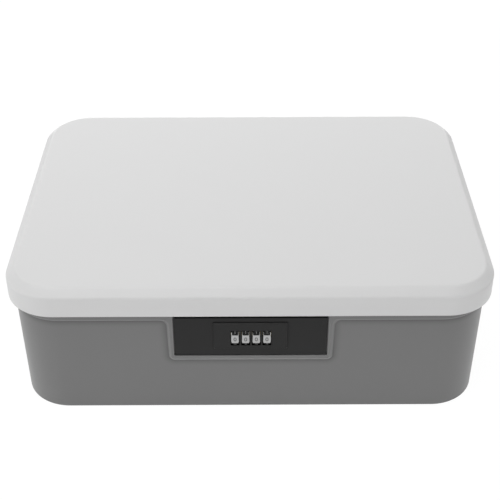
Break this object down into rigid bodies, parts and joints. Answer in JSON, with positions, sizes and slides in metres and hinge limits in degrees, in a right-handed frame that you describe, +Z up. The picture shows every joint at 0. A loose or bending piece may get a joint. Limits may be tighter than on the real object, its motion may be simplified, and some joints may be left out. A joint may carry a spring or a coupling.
{
  "type": "document safe",
  "caption": "Tapered plastic document box for A4 papers, with a hinged bevelled lid and a sliding combination lock in a dark plate on the front.",
  "frame": {"origin": "under the middle of the closed box's bounding box, on the surface it stands on", "axes": "+X to the right seen from the front, +Z up, the lock faces -Y and the hinges are at +Y"},
  "size_m": [0.37, 0.2804, 0.117],
  "materials": {
    "body_grey": "fine moulded texture, satin",
    "lid_white": "smooth, satin",
    "lock_black": "smooth, satin",
    "inner_black": "matt",
    "dial_chrome": "plated, figures filled in dark paint",
    "steel": "zinc plated",
    "screw_zinc": "zinc plated",
    "brass": "turned"
  },
  "bodies": {
    "box_body": {"body_tub": "body_grey", "lock_faceplate": "lock_black", "toothed_shaft": "steel", "lock_back_cover": "inner_black", "hinge_pin_left": "steel", "hinge_pin_right": "steel", "faceplate_screw_1": "screw_zinc", "faceplate_screw_2": "screw_zinc", "faceplate_screw_3": "screw_zinc", "faceplate_screw_4": "screw_zinc", "back_cover_screw_1": "screw_zinc", "back_cover_screw_2": "screw_zinc", "back_cover_screw_3": "screw_zinc", "back_cover_screw_4": "screw_zinc"},
    "lid": {"lid_shell": "lid_white", "strike_plate": "steel", "strike_screw_1": "screw_zinc", "strike_screw_2": "screw_zinc"},
    "lock_slide": {"slide_block": "lock_black", "slide_carrier": "inner_black", "click_spring": "steel", "latch_plate": "steel", "reset_spring": "steel", "carrier_screw_1": "screw_zinc", "carrier_screw_2": "screw_zinc", "latch_screw_1": "screw_zinc", "latch_screw_2": "screw_zinc"},
    "dial_1": {"dial_wheel_1": "dial_chrome"},
    "dial_2": {"dial_wheel_2": "dial_chrome"},
    "dial_3": {"dial_wheel_3": "dial_chrome"},
    "dial_4": {"dial_wheel_4": "dial_chrome"},
    "reset": {"reset_slider": "brass"},
    "code_1": {"code_sleeve_1": "brass"},
    "code_2": {"code_sleeve_2": "brass"},
    "code_3": {"code_sleeve_3": "brass"},
    "code_4": {"code_sleeve_4": "brass"}
  },
  "joints": [
    {"name": "lid_hinge", "type": "hinge", "parent": "box_body", "child": "lid", "pos_m": [0, 0.1372, 0.0925], "axis": [-1, 0, 0], "range_deg": [0, 100]},
    {"name": "lock_slide_travel", "type": "slide", "parent": "box_body", "child": "lock_slide", "axis": [1, 0, 0], "range_m": [0, 0.005]},
    {"name": "dial_1_turn", "type": "hinge", "parent": "lock_slide", "child": "dial_1", "pos_m": [-0.01135, -0.12883, 0.072], "axis": [1, 0, 0], "continuous": true},
    {"name": "dial_2_turn", "type": "hinge", "parent": "lock_slide", "child": "dial_2", "pos_m": [-0.00335, -0.12883, 0.072], "axis": [1, 0, 0], "continuous": true},
    {"name": "dial_3_turn", "type": "hinge", "parent": "lock_slide", "child": "dial_3", "pos_m": [0.00465, -0.12883, 0.072], "axis": [1, 0, 0], "continuous": true},
    {"name": "dial_4_turn", "type": "hinge", "parent": "lock_slide", "child": "dial_4", "pos_m": [0.01265, -0.12883, 0.072], "axis": [1, 0, 0], "continuous": true},
    {"name": "reset_push", "type": "slide", "parent": "lock_slide", "child": "reset", "axis": [1, 0, 0], "range_m": [0, 0.0022], "stiffness_N_per_m": 600, "springref_m": -0.002, "deforming": ["reset_spring"]},
    {"name": "code_1_turn", "type": "hinge", "parent": "reset", "child": "code_1", "pos_m": [-0.01135, -0.12883, 0.072], "axis": [1, 0, 0], "continuous": true},
    {"name": "code_2_turn", "type": "hinge", "parent": "reset", "child": "code_2", "pos_m": [-0.00335, -0.12883, 0.072], "axis": [1, 0, 0], "continuous": true},
    {"name": "code_3_turn", "type": "hinge", "parent": "reset", "child": "code_3", "pos_m": [0.00465, -0.12883, 0.072], "axis": [1, 0, 0], "continuous": true},
    {"name": "code_4_turn", "type": "hinge", "parent": "reset", "child": "code_4", "pos_m": [0.01265, -0.12883, 0.072], "axis": [1, 0, 0], "continuous": true}
  ],
  "couplings": [
    {"joint": "code_1_turn", "follows": "dial_1_turn", "ratio": 1},
    {"joint": "code_2_turn", "follows": "dial_2_turn", "ratio": 1},
    {"joint": "code_3_turn", "follows": "dial_3_turn", "ratio": 1},
    {"joint": "code_4_turn", "follows": "dial_4_turn", "ratio": 1}
  ]
}
